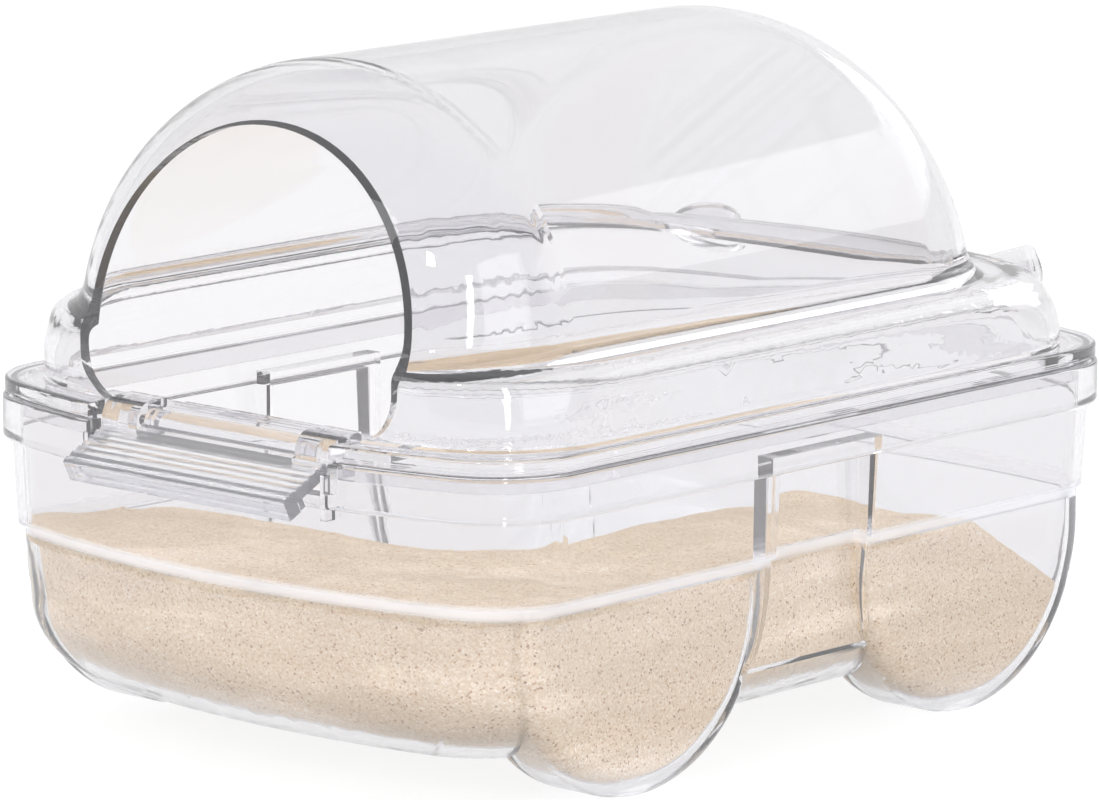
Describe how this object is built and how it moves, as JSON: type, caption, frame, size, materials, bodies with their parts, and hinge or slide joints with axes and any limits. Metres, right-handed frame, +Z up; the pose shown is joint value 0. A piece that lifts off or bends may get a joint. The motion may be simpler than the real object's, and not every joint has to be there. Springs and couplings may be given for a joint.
{
  "type": "small pet sand bath",
  "caption": "Clear car-shaped sand bath for a small pet: tub on wheel-shaped feet, domed lid with an arched entrance, hinged front clip and a bed of sand.",
  "frame": {"origin": "on the table, under the centre of the whole outline with the clip shut", "axes": "+Z up, +Y towards the bonnet, -Y towards the arched entrance and the clip, X across"},
  "size_m": [0.14, 0.2064, 0.1325],
  "materials": {
    "tray": "clear gloss",
    "lid": "clear gloss",
    "clip": "clear gloss, ribbed",
    "sand": "dry fine sand"
  },
  "bodies": {
    "tray": {"tray": "tray", "sand": "sand"},
    "lid": {"lid": "lid"},
    "clip": {"clip": "clip"}
  },
  "joints": [
    {"name": "lid_lift", "type": "slide", "parent": "tray", "child": "lid", "axis": [0, 0, 1], "range_m": [0, 0.12]},
    {"name": "clip_hinge", "type": "hinge", "parent": "lid", "child": "clip", "pos_m": [0, -0.0878, 0.0654], "axis": [-1, 0, 0], "range_deg": [0, 90]}
  ]
}
